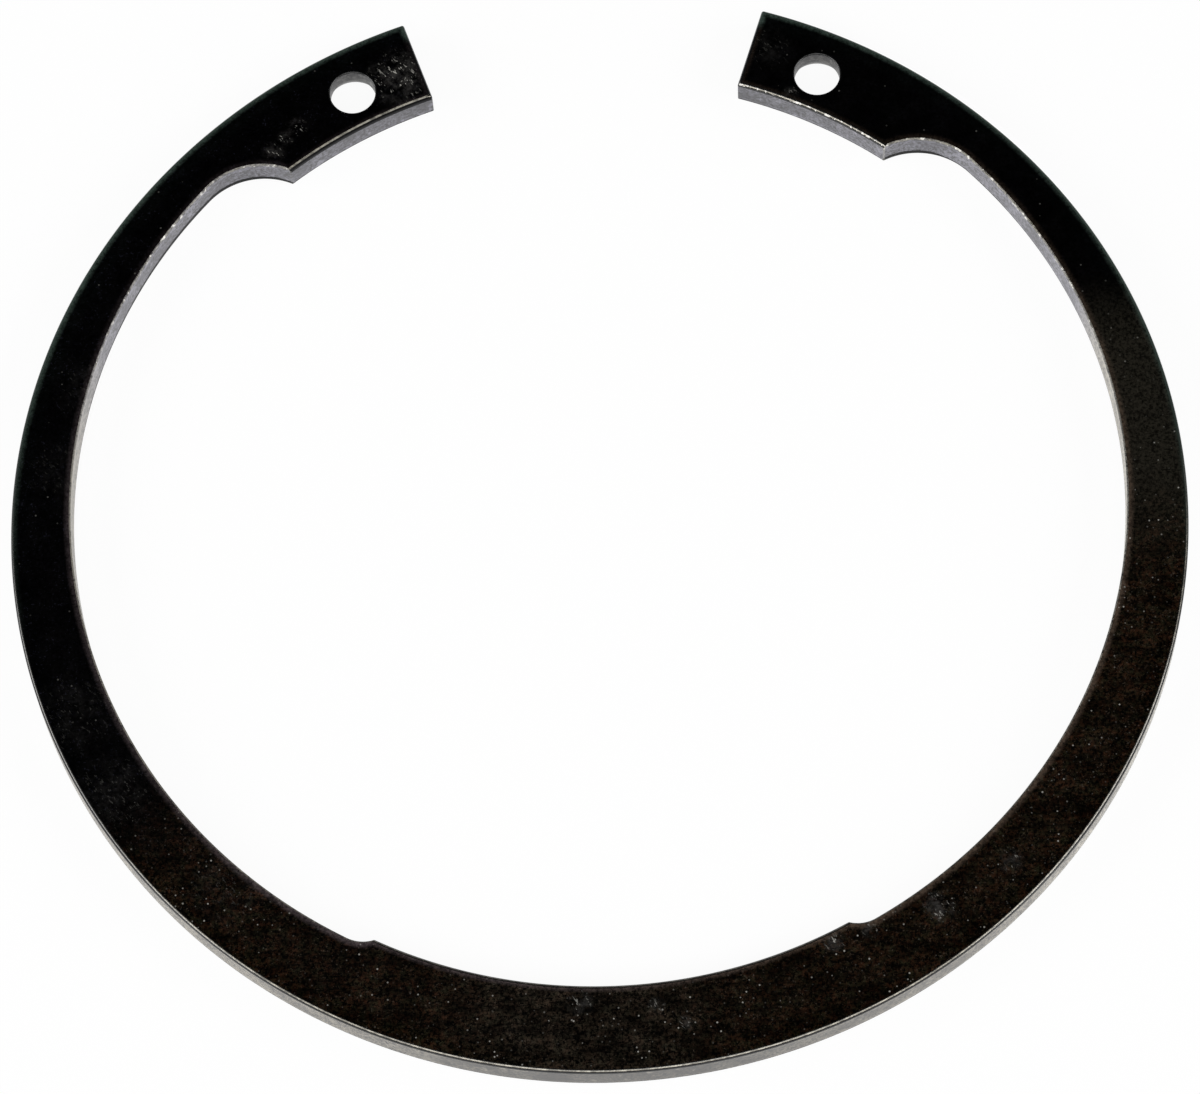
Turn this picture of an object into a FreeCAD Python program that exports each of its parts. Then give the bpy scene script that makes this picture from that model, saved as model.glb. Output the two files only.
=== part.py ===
import FreeCAD, Part
import math
import os

# An internal retaining ring: an open ring of flat spring steel that snaps into a groove in a bore.
# Lengths are in millimetres and angles in degrees. The ring lies flat and unstressed, with its
# underside at Z = 0. The origin is the centre of the outer circle, and the gap faces +Y.

# The strip and the outer circle
outer_diameter = 85.5
thickness = 2.3

# The two lugs, one each side of the gap
lug_width = 6.6
gap_half_angle = 18.45
lug_end_angle = 37.8

# The limbs follow an eccentric inner circle, so they thin evenly from the heel towards the lugs.
# Their two widths are measured on that circle, in line with the gap and opposite it.
limb_width_at_gap = 2.84
limb_width_at_heel = 5.86
root_radius = 5.3

# The heel, a thicker stretch opposite the gap
heel_step = 0.58
heel_half_angle = 27.3
step_radius = 2.5

# Plier holes: a straight wall where the punch enters, and a flare where it breaks through
hole_diameter = 3.4
hole_angle = 26.55
metal_inside_hole = 1.15
hole_mouth_radius = 0.1
breakout_depth = 1.0
breakout_flare = 0.42

# Edges rolled over by the blanking tools, each on the side that its tool enters from
upper_roll_radius = 0.25
lower_roll_radius = 0.1

outer_radius = outer_diameter / 2
lug_inner_radius = outer_radius - lug_width
heel_inner_radius = outer_radius - limb_width_at_heel - heel_step
limb_radius = outer_radius - (limb_width_at_gap + limb_width_at_heel) / 2
limb_offset = (limb_width_at_heel - limb_width_at_gap) / 2
hole_radius = hole_diameter / 2
hole_circle_radius = lug_inner_radius + metal_inside_hole + hole_radius
ring_centre = FreeCAD.Vector(0, 0, 0)
limb_centre = FreeCAD.Vector(0, limb_offset, 0)
up = FreeCAD.Vector(0, 0, 1)


def on_circle(radius, angle_from_gap):
    """A point at this radius, turned from the middle of the gap towards +X."""
    turn = math.radians(angle_from_gap)
    return FreeCAD.Vector(radius * math.sin(turn), radius * math.cos(turn), 0)


def unit(vector):
    return vector / vector.Length


def mirrored(point):
    return FreeCAD.Vector(-point.x, point.y, point.z)


def line(start, end):
    return Part.LineSegment(start, end).toShape()


def short_arc(centre, start, end):
    """The shorter arc about a centre, from start to end."""
    middle = unit(start + end - centre * 2)
    return Part.Arc(start, centre + middle * (start - centre).Length, end).toShape()


def blend_centre(corner, radius):
    """Centre of the arc that leaves a lug's or the heel's corner and runs tangent into the limb."""
    to_corner = corner - limb_centre
    span = to_corner.Length
    reach = limb_radius - radius
    along = (span**2 + reach**2 - radius**2) / (2 * span)
    aside = math.sqrt(reach**2 - along**2)
    forward = unit(to_corner)
    sideways = FreeCAD.Vector(abs(forward.y), -forward.x * math.copysign(1, forward.y), 0)
    return limb_centre + forward * along + sideways * aside


def limb_contact(centre):
    """Where a blend about this centre touches the limb's circle."""
    return limb_centre + unit(centre - limb_centre) * limb_radius


# Corners and contact points of the right half, from the gap round to the heel
rim_end = on_circle(outer_radius, gap_half_angle)
rim_back = on_circle(outer_radius, 180)
lip = on_circle(lug_inner_radius, gap_half_angle)
lug_corner = on_circle(lug_inner_radius, lug_end_angle)
heel_corner = on_circle(heel_inner_radius, 180 - heel_half_angle)
root_centre = blend_centre(lug_corner, root_radius)
step_centre = blend_centre(heel_corner, step_radius)
limb_start = limb_contact(root_centre)
limb_end = limb_contact(step_centre)


def outline():
    """The closed outline: outer circle, end faces and the stepped inner side."""
    inner_arcs = [
        (ring_centre, lip, lug_corner),
        (root_centre, lug_corner, limb_start),
        (limb_centre, limb_start, limb_end),
        (step_centre, limb_end, heel_corner),
    ]
    edges = [
        Part.Arc(rim_end, rim_back, mirrored(rim_end)).toShape(),
        short_arc(ring_centre, heel_corner, mirrored(heel_corner)),
        line(rim_end, lip),
        line(mirrored(rim_end), mirrored(lip)),
    ]
    for centre, start, end in inner_arcs:
        edges.append(short_arc(centre, start, end))
        edges.append(short_arc(mirrored(centre), mirrored(start), mirrored(end)))
    return Part.Wire(Part.__sortEdges__(edges))


def roll_section(edge_point, clear_way, rise, radius):
    """Section of the metal that a rolled edge lacks, with room to spare outside the metal."""

    def at(out, high):
        return edge_point + clear_way * out + up * (high * rise)

    bulge = radius * (1 - math.sqrt(0.5))
    on_face = at(-radius, 0)
    on_wall = at(0, -radius)
    over_face = at(-radius, radius)
    over_corner = at(radius, radius)
    over_wall = at(radius, -radius)
    return Part.Face(
        Part.Wire(
            [
                line(on_face, over_face),
                line(over_face, over_corner),
                line(over_corner, over_wall),
                line(over_wall, on_wall),
                Part.Arc(on_wall, at(-bulge, -bulge), on_face).toShape(),
            ]
        )
    )


def rolled_arc(centre, start, end, rise, radius, run_on):
    """The roll along an inner arc, run on past its start, its end or both where they are corners."""
    arm = start - centre
    sweep = math.degrees(math.atan2(arm.cross(end - centre).z, arm.dot(end - centre)))
    extra = math.copysign(math.degrees(2 * radius / arm.Length), sweep)
    level = up * (thickness if rise > 0 else 0)
    section = roll_section(start + level, unit(arm) * -1, rise, radius)
    if "start" in run_on:
        section.rotate(centre, up, -extra)
        sweep += extra
    if "end" in run_on:
        sweep += extra
    return section.revolve(centre, up, sweep)


def rolled_rim():
    """The roll round the outer circle, run on past both end faces."""
    radius = upper_roll_radius
    section = roll_section(rim_back + up * thickness, unit(rim_back), 1, radius)
    half_turn = 180 - gap_half_angle + math.degrees(2 * radius / outer_radius)
    section.rotate(ring_centre, up, -half_turn)
    return section.revolve(ring_centre, up, 2 * half_turn)


def rolled_end_face():
    """The roll along the right end face, run on past both of its corners."""
    radius = upper_roll_radius
    inward = unit(lip - rim_end)
    start = rim_end - inward * radius + up * thickness
    section = roll_section(start, FreeCAD.Vector(inward.y, -inward.x, 0), 1, radius)
    return section.extrude(inward * ((lip - rim_end).Length + 2 * radius))


def rolled_edges():
    """Everything that the rolled edges lack, above and below."""
    right_half = [
        rolled_end_face(),
        rolled_arc(ring_centre, lip, lug_corner, 1, upper_roll_radius, ("start", "end")),
        rolled_arc(root_centre, lug_corner, limb_start, -1, lower_roll_radius, ("start",)),
        rolled_arc(limb_centre, limb_start, limb_end, -1, lower_roll_radius, ()),
        rolled_arc(step_centre, limb_end, heel_corner, -1, lower_roll_radius, ("end",)),
    ]
    left_half = [piece.mirror(ring_centre, FreeCAD.Vector(1, 0, 0)) for piece in right_half]
    heel = rolled_arc(
        ring_centre, heel_corner, mirrored(heel_corner), 1, upper_roll_radius, ("start", "end")
    )
    return right_half + left_half + [heel, rolled_rim()]


def plier_hole(angle):
    """What the punch removes: a rounded mouth, a straight wall and a flared break-out."""

    def at(radius, height):
        return FreeCAD.Vector(radius, 0, height)

    bulge = hole_mouth_radius * (1 - math.sqrt(0.5))
    mouth_low = at(hole_radius, thickness - hole_mouth_radius)
    mouth_middle = at(hole_radius + bulge, thickness - bulge)
    mouth_top = at(hole_radius + hole_mouth_radius, thickness)
    flare_top = at(hole_radius, breakout_depth)
    flare_end = at(hole_radius + breakout_flare, 0)
    section = Part.Wire(
        [
            line(at(0, 0), flare_end),
            line(flare_end, flare_top),
            line(flare_top, mouth_low),
            Part.Arc(mouth_low, mouth_middle, mouth_top).toShape(),
            line(mouth_top, at(0, thickness)),
            line(at(0, thickness), at(0, 0)),
        ]
    )
    hole = Part.Face(section).revolve(ring_centre, up, 360)
    hole.translate(on_circle(hole_circle_radius, angle))
    return hole


def ring():
    blank = Part.Face(outline()).extrude(up * thickness)
    return blank.cut(rolled_edges() + [plier_hole(hole_angle), plier_hole(-hole_angle)])


os.makedirs("parts", exist_ok=True)
shape = ring()
shape.exportStep("parts/ring.step")
print("ring:", len(shape.Solids), "solid,", len(shape.Faces), "faces, valid", shape.isValid())
print("volume in cubic millimetres:", round(shape.Volume, 2))
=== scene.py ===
import cmath
import math
import bmesh
import bpy
from mathutils import Matrix, Vector
from mathutils.geometry import delaunay_2d_cdt


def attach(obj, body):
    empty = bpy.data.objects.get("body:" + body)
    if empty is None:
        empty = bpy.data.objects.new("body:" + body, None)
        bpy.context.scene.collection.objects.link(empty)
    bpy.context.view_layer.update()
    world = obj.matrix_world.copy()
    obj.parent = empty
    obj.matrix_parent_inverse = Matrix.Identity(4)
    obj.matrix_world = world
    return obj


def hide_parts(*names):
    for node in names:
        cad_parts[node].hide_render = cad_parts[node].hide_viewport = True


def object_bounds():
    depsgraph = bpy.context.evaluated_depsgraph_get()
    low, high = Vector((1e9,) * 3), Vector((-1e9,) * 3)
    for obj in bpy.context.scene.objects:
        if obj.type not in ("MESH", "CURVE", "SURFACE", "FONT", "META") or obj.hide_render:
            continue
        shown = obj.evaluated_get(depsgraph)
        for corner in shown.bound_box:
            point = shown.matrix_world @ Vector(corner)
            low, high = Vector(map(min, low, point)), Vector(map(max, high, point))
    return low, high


# A black retaining ring lying on a white table. Sizes below are in millimetres and degrees,
# and the gap opens towards +Y.
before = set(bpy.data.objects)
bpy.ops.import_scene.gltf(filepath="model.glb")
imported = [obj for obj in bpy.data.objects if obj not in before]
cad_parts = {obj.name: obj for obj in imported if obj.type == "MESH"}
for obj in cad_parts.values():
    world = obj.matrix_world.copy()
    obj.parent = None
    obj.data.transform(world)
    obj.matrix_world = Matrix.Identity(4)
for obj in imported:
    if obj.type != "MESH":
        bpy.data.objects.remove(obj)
cadLow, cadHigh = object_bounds()
print("frame loaded:", ", ".join(sorted(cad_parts)))

mm = 0.001

ringSizes = {
    "outerDiameter": 85.5,
    "thickness": 2.3,
    "lugWidth": 6.6,
    "gapHalfAngle": 18.45,
    "lugEndAngle": 37.8,
    "limbWidthAtGap": 2.84,
    "limbWidthAtHeel": 5.86,
    "rootRadius": 5.3,
    "heelStep": 0.58,
    "heelHalfAngle": 27.3,
    "stepRadius": 2.5,
    "holeRadius": 1.7,
    "holeAngle": 26.55,
    "metalInsideHole": 1.15,
    # the outline's corners are rounded a little
    "gapCornerRound": 0.18,
    "lipRound": 0.1,
    "lugCornerRound": 0.1,
    "heelCornerRound": 0.12,
    # how finely the mesh is divided
    "longStep": 0.33,  # spacing of points along the rim, lugs and heel
    "shortStep": 0.2,  # and along the sheared inner edge
    "fewestSteps": 8,
    "cornerSteps": 6,
    "holePoints": 144,
    "holeShare": 0.9996,  # what lies nearer to a hole's centre than this share isn't filled
    "fillTolerance": 1e-6,
    "mergeWithin": 0.0004,
    "sharpAngle": 38,
}

# Sections as (distance into the metal, height), from the top face over the edge to the underside.
# The rolled one is drawn in over the top edge. The sheared one breaks off there and is drawn in
# below.
rolledSection = {
    "face": [(0.6, 2.3), (0.46, 2.3), (0.34, 2.3), (0.25, 2.3)],
    "rollWidth": 0.25,
    "rollDepth": 0.27,
    "rollSteps": 8,
    "wall": [(0.0, height) for height in (1.8, 1.4, 1.0, 0.6, 0.2, 0.05)],
    "foot": [(0.012, 0.014), (0.045, 0.0), (0.3, 0.0), (0.6, 0.0)],
}
shearedSection = {
    "face": [(0.6, 2.3), (0.4, 2.3), (0.22, 2.3), (0.13, 2.3)],
    "breakOff": [
        (0.085, 2.293), (0.055, 2.282), (0.028, 2.262), (0.01, 2.23),
        (0.0, 2.19), (0.004, 2.1), (0.002, 1.95), (0.0, 1.8),
    ],
    "wall": [(0.0, height) for height in (1.5, 1.1, 0.7, 0.4, 0.2, 0.06)],
    "foot": [(0.016, 0.016), (0.06, 0.0), (0.3, 0.0), (0.6, 0.0)],
}
holeSection = {
    "face": [(0.5, 2.3), (0.25, 2.3), (0.12, 2.3)],
    "mouth": [(0.084, 2.296), (0.05, 2.284), (0.024, 2.264), (0.006, 2.235), (0.0, 2.2)],
    "wall": [(0.0, 1.6), (0.0, 1.15), (0.015, 1.0), (0.13, 0.7), (0.265, 0.36), (0.385, 0.05)],
    "foot": [(0.42, 0.0), (0.5, 0.0)],
}
farFromEdge = rolledSection["face"][0][0]  # no paler band reaches this far in
slotNames = ["blackenedFace", "rolledEdge", "shearedWall", "punchedWall"]
faceSlot, rollSlot, wallSlot, punchSlot = range(len(slotNames))
burnish = {
    "leftLug": 0.19,  # how far the black of the roll runs down each lug
    "rightLug": 0.03,
    "onLug": (0.0, 0.02),  # the depths that tell the materials which lug they are on
    "onLeftLug": (0.08, 0.16),
}
burrPlace = {
    "level": 5,  # the loop of the section that carries the burr
    "lowest": 12.0,  # it shows from here up towards the lugs
    "rolledShare": 0.1,  # and only where the edge is less rolled than this
}


# The outline is drawn with points of the complex plane.
def onCircle(radius, angleFromGap):
    return cmath.rect(radius, math.radians(90 - angleFromGap))


def unit(vector):
    return vector / abs(vector)


def turned(centre, point, angle):
    return centre + (point - centre) * cmath.rect(1, angle)


def turnBetween(centre, start, end):
    return cmath.phase((end - centre) / (start - centre))


def arcPiece(centre, radius, metalOutside, rolled, step):
    return {
        "centre": centre, "radius": radius, "metalOutside": metalOutside,
        "rolled": rolled, "step": step, "onLug": False,
    }


def linePiece(start, end, inward, step):
    return {
        "start": start, "along": unit(end - start), "inward": inward,
        "rolled": True, "step": step, "onLug": False,
    }


def offsetRadius(piece, offset):
    return piece["radius"] + (offset if piece["metalOutside"] else -offset)


def nearestOn(piece, offset, point):
    if "centre" in piece:
        return piece["centre"] + unit(point - piece["centre"]) * offsetRadius(piece, offset)
    base = piece["start"] + piece["inward"] * offset
    along = piece["along"]
    return base + along * ((point - base) * along.conjugate()).real


def meeting(first, firstOffset, second, secondOffset, near):
    # where two offset pieces cross, on the side of the corner that is meant
    if "centre" not in first:
        first, firstOffset, second, secondOffset = second, secondOffset, first, firstOffset
    centre, radius = first["centre"], offsetRadius(first, firstOffset)
    if "centre" in second:
        otherCentre, otherRadius = second["centre"], offsetRadius(second, secondOffset)
        span = abs(otherCentre - centre)
        forward = unit(otherCentre - centre)
        reach = (span**2 + radius**2 - otherRadius**2) / (2 * span)
        foot = centre + forward * reach
        side = forward * 1j
    else:
        foot = nearestOn(second, secondOffset, centre)
        side = second["along"]
        reach = abs(foot - centre)
    aside = math.sqrt(max(radius**2 - reach**2, 0))
    return min(foot + side * aside, foot - side * aside, key=lambda point: abs(point - near))


def blendCentre(corner, radius, limbCentre, limbRadius):
    # centre of the arc that leaves a corner and runs tangent into the limb
    span = abs(corner - limbCentre)
    reach = limbRadius - radius
    along = (span**2 + reach**2 - radius**2) / (2 * span)
    forward = unit(corner - limbCentre)
    sideways = forward * (-1j if forward.imag > 0 else 1j)
    if sideways.real < 0:
        sideways = -sideways
    return limbCentre + forward * along + sideways * math.sqrt(reach**2 - along**2)


def halfOutline(sizes):
    # pieces and corners of the right half, from opposite the gap round the rim and back inside
    rim = sizes["outerDiameter"] / 2
    lugInner = rim - sizes["lugWidth"]
    heelInner = rim - sizes["limbWidthAtHeel"] - sizes["heelStep"]
    limbRadius = rim - (sizes["limbWidthAtGap"] + sizes["limbWidthAtHeel"]) / 2
    limbCentre = 1j * (sizes["limbWidthAtHeel"] - sizes["limbWidthAtGap"]) / 2
    rimEnd = onCircle(rim, sizes["gapHalfAngle"])
    lip = onCircle(lugInner, sizes["gapHalfAngle"])
    lugCorner = onCircle(lugInner, sizes["lugEndAngle"])
    heelCorner = onCircle(heelInner, 180 - sizes["heelHalfAngle"])
    rootCentre = blendCentre(lugCorner, sizes["rootRadius"], limbCentre, limbRadius)
    stepCentre = blendCentre(heelCorner, sizes["stepRadius"], limbCentre, limbRadius)
    limbStart = limbCentre + unit(rootCentre - limbCentre) * limbRadius
    limbEnd = limbCentre + unit(stepCentre - limbCentre) * limbRadius
    inward = unit(rimEnd - lip) * -1j
    longStep, shortStep = sizes["longStep"], sizes["shortStep"]
    pieces = [
        arcPiece(0j, rim, False, True, longStep),
        linePiece(rimEnd, lip, inward, longStep),
        arcPiece(0j, lugInner, True, True, longStep) | {"onLug": True},
        arcPiece(rootCentre, sizes["rootRadius"], True, False, shortStep),
        arcPiece(limbCentre, limbRadius, True, False, shortStep),
        arcPiece(stepCentre, sizes["stepRadius"], True, False, shortStep),
        arcPiece(0j, heelInner, True, True, longStep),
    ]
    corners = [  # each with its rounding, or none where two pieces are tangent
        (rimEnd, sizes["gapCornerRound"]),
        (lip, sizes["lipRound"]),
        (lugCorner, sizes["lugCornerRound"]),
        (limbStart, None),
        (limbEnd, None),
        (heelCorner, sizes["heelCornerRound"]),
    ]
    found = {"pieces": pieces, "corners": corners, "start": -1j * rim, "end": -1j * heelInner}
    found["counts"] = countPoints(found, sizes["fewestSteps"])
    found["cornerSteps"] = sizes["cornerSteps"]
    return found


def countPoints(outline, fewest):
    marks = [outline["start"]] + [corner for corner, _ in outline["corners"]] + [outline["end"]]
    counts = []
    for piece, start, end in zip(outline["pieces"], marks, marks[1:]):
        length = abs(end - start)
        if "centre" in piece:
            length = abs(turnBetween(piece["centre"], start, end)) * piece["radius"]
        counts.append(max(fewest, round(length / piece["step"])))
    return counts


def alongPiece(piece, start, end, count):
    # evenly spaced points on one offset piece, its start but not its end among them
    fractions = [step / count for step in range(count)]
    if "centre" not in piece:
        return [start + (end - start) * part for part in fractions]
    centre = piece["centre"]
    turn = turnBetween(centre, start, end)
    return [turned(centre, start, turn * part) for part in fractions]


def halfLoop(outline, rolledOffset, shearedOffset):
    pieces, corners, cornerSteps = outline["pieces"], outline["corners"], outline["cornerSteps"]
    offsets = [rolledOffset if piece["rolled"] else shearedOffset for piece in pieces]
    entries, exits, rounds = [], [], []
    for place, (corner, rounding) in enumerate(corners):
        before, after = pieces[place], pieces[place + 1]
        offsetBefore, offsetAfter = offsets[place], offsets[place + 1]
        if rounding is None:
            point = nearestOn(after, offsetAfter, corner)
            exits.append(point)
            entries.append(point)
            rounds.append([])
            continue
        radius = max(rounding - max(offsetBefore, offsetAfter), 0)
        middle = meeting(before, offsetBefore + radius, after, offsetAfter + radius, corner)
        first = nearestOn(before, offsetBefore, middle)
        last = nearestOn(after, offsetAfter, middle)
        exits.append(first)
        entries.append(last)
        if radius > 0:
            turn = turnBetween(middle, first, last)
            turns = [turn * step / cornerSteps for step in range(cornerSteps)]
            rounds.append([turned(middle, first, angle) for angle in turns])
        else:
            rounds.append([middle] * cornerSteps)
    starts = [nearestOn(pieces[0], offsets[0], outline["start"])] + entries
    ends = exits + [nearestOn(pieces[-1], offsets[-1], outline["end"])]
    points = []
    for place, piece in enumerate(pieces):
        points += alongPiece(piece, starts[place], ends[place], outline["counts"][place])
        if place < len(rounds):
            points += rounds[place]
    return points + [ends[-1]]


def spreadMarks(outline, marks, blended):
    # one value for each point of the half loop, from one mark for each piece
    values = []
    for place, mark in enumerate(marks):
        values += [mark] * outline["counts"][place]
        if place < len(outline["corners"]) and outline["corners"][place][1] is not None:
            after = marks[place + 1] if blended else mark
            steps = outline["cornerSteps"]
            values += [mark + (after - mark) * step / steps for step in range(steps)]
    return values + [marks[-1]]


def otherHalf(values):
    return values[-2:0:-1]


def closedLoop(points):
    # the right half and its mirror image
    return points + [complex(-point.real, point.imag) for point in otherHalf(points)]


half = halfOutline(ringSizes)
rolledShares = spreadMarks(half, [float(piece["rolled"]) for piece in half["pieces"]], True)
rolledShares += otherHalf(rolledShares)
lugMarks = spreadMarks(half, [float(piece["onLug"]) for piece in half["pieces"]], False)
burnishDepths = [burnish["rightLug"] * mark for mark in lugMarks]
burnishDepths += [burnish["leftLug"] * mark for mark in otherHalf(lugMarks)]
print("outline:", len(rolledShares), "points round it")


# The ring's mesh runs in loops from the top face over the edges to the underside.
def rollCurve(section):
    width, depth, steps = section["rollWidth"], section["rollDepth"], section["rollSteps"]
    top = ringSizes["thickness"]
    curve = []
    for step in range(1, steps + 1):
        turn = math.radians(90 * step / steps)
        curve.append((width * (1 - math.sin(turn)), top - depth * (1 - math.cos(turn))))
    return curve


def sectionLevels():
    rolled = rolledSection["face"] + rollCurve(rolledSection)
    sheared = shearedSection["face"] + shearedSection["breakOff"]
    for part in ("wall", "foot"):
        rolled = rolled + rolledSection[part]
        sheared = sheared + shearedSection[part]
    return list(zip(rolled, sheared))


def holeLoops(centre):
    count = ringSizes["holePoints"]
    turns = [-2 * math.pi * step / count for step in range(count)]
    loops = []
    for part in ("face", "mouth", "wall", "foot"):
        for offset, height in holeSection[part]:
            radius = ringSizes["holeRadius"] + offset
            points = [centre + cmath.rect(radius, turn) for turn in turns]
            loops.append([(point.real, point.imag, height) for point in points])
    return loops


lugInnerRadius = ringSizes["outerDiameter"] / 2 - ringSizes["lugWidth"]
holeCircleRadius = lugInnerRadius + ringSizes["metalInsideHole"] + ringSizes["holeRadius"]
holeCentres = [onCircle(holeCircleRadius, side * ringSizes["holeAngle"]) for side in (1, -1)]


def fillFace(loops, coordinates, upward):
    # triangles between the outline's loop and the holes' loops on one flat face
    def plan(index):
        return complex(*coordinates[index][:2])

    def inHole(point):
        return any(abs(point - centre) < holeReach for centre in holeCentres)

    indices = [index for loop in loops for index in loop]
    flat = [Vector(coordinates[index][:2]) for index in indices]
    edges, start = [], 0
    for loop in loops:
        edges += [(start + step, start + (step + 1) % len(loop)) for step in range(len(loop))]
        start += len(loop)
    tolerance = ringSizes["fillTolerance"]
    places, _, triangles, origins = delaunay_2d_cdt(flat, edges, [], 1, tolerance)[:4]
    holeReach = min(abs(plan(loops[1][0]) - centre) for centre in holeCentres)
    holeReach *= ringSizes["holeShare"]
    faces = []
    for triangle in triangles:
        middle = sum((complex(*places[corner]) for corner in triangle), 0j) / 3
        if inHole(middle):
            continue
        corners = [indices[origins[corner][0]] for corner in triangle]
        first, second, third = (plan(corner) for corner in corners)
        turnsLeft = ((second - first).conjugate() * (third - first)).imag > 0
        faces.append(corners if turnsLeft == upward else corners[::-1])
    return faces


def buildRing():
    coordinates, faces, slots = [], [], []
    edgeDistances, burnishValues, burrMarks = [], [], []

    def addLoop(points, distances, depths, burrs):
        start = len(coordinates)
        coordinates.extend(points)
        edgeDistances.extend(distances)
        burnishValues.extend(depths)
        burrMarks.extend(burrs)
        return list(range(start, len(coordinates)))

    def joinLoops(upper, lower, slotHere):
        count = len(upper)
        for step in range(count):
            after = (step + 1) % count
            faces.append([upper[step], lower[step], lower[after], upper[after]])
            slots.append(slotHere[step])

    loops = []
    for level, (rolledPoint, shearedPoint) in enumerate(sectionLevels()):
        rolledOffset, rolledHeight = rolledPoint
        shearedOffset, shearedHeight = shearedPoint
        flat = closedLoop(halfLoop(half, rolledOffset, shearedOffset))
        points, distances, burrs = [], [], []
        for point, share in zip(flat, rolledShares):
            height = share * rolledHeight + (1 - share) * shearedHeight
            points.append((point.real, point.imag, height))
            distances.append(share * rolledOffset + (1 - share) * shearedOffset)
            torn = share < burrPlace["rolledShare"] and point.imag > burrPlace["lowest"]
            burrs.append(level == burrPlace["level"] and torn)
        loops.append(addLoop(points, distances, burnishDepths, burrs))

    faceEnd = len(rolledSection["face"]) - 1
    rollEnd = faceEnd + rolledSection["rollSteps"]
    wallEnd = rollEnd + len(rolledSection["wall"])
    for level in range(len(loops) - 1):
        if level < faceEnd or level > wallEnd + 1:
            slotHere = [faceSlot] * len(rolledShares)
        elif level < rollEnd:
            slotHere = [rollSlot if share > 0.5 else wallSlot for share in rolledShares]
        else:
            slotHere = [wallSlot if level < wallEnd else rollSlot] * len(rolledShares)
        joinLoops(loops[level], loops[level + 1], slotHere)

    topLoops, bottomLoops = [loops[0]], [loops[-1]]
    mouthStart = len(holeSection["face"]) - 1
    wallStart = mouthStart + len(holeSection["mouth"])
    wallStop = wallStart + len(holeSection["wall"])
    for centre in holeCentres:
        rings = []
        for points in holeLoops(centre):
            count = len(points)
            rings.append(addLoop(points, [farFromEdge] * count, [0.0] * count, [False] * count))
        for level in range(len(rings) - 1):
            if level < mouthStart or level > wallStop:
                slot = faceSlot
            else:
                slot = rollSlot if level < wallStart else punchSlot
            joinLoops(rings[level], rings[level + 1], [slot] * len(rings[level]))
        topLoops.append(rings[0])
        bottomLoops.append(rings[-1])
    for flatLoops, upward in ((topLoops, True), (bottomLoops, False)):
        filled = fillFace(flatLoops, coordinates, upward)
        faces.extend(filled)
        slots.extend([faceSlot] * len(filled))

    mesh = bpy.data.meshes.new("retainingRing")
    mesh.from_pydata([[value * mm for value in point] for point in coordinates], [], faces)
    mesh.polygons.foreach_set("material_index", slots)
    for name, kind, values in (
        ("edgeDistance", "FLOAT", edgeDistances),
        ("burnishDepth", "FLOAT", burnishValues),
        ("burrLine", "BOOLEAN", burrMarks),
    ):
        mesh.attributes.new(name, kind, "POINT").data.foreach_set("value", values)
    merged = bmesh.new()
    merged.from_mesh(mesh)
    bmesh.ops.remove_doubles(merged, verts=merged.verts, dist=ringSizes["mergeWithin"] * mm)
    merged.to_mesh(mesh)
    merged.free()
    mesh.polygons.foreach_set("use_smooth", [True] * len(mesh.polygons))
    mesh.set_sharp_from_angle(angle=math.radians(ringSizes["sharpAngle"]))
    mesh.update()
    ringObject = bpy.data.objects.new("retainingRing", mesh)
    bpy.context.scene.collection.objects.link(ringObject)
    return ringObject


retainingRing = buildRing()
print("ring mesh:", len(retainingRing.data.polygons), "faces")


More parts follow.
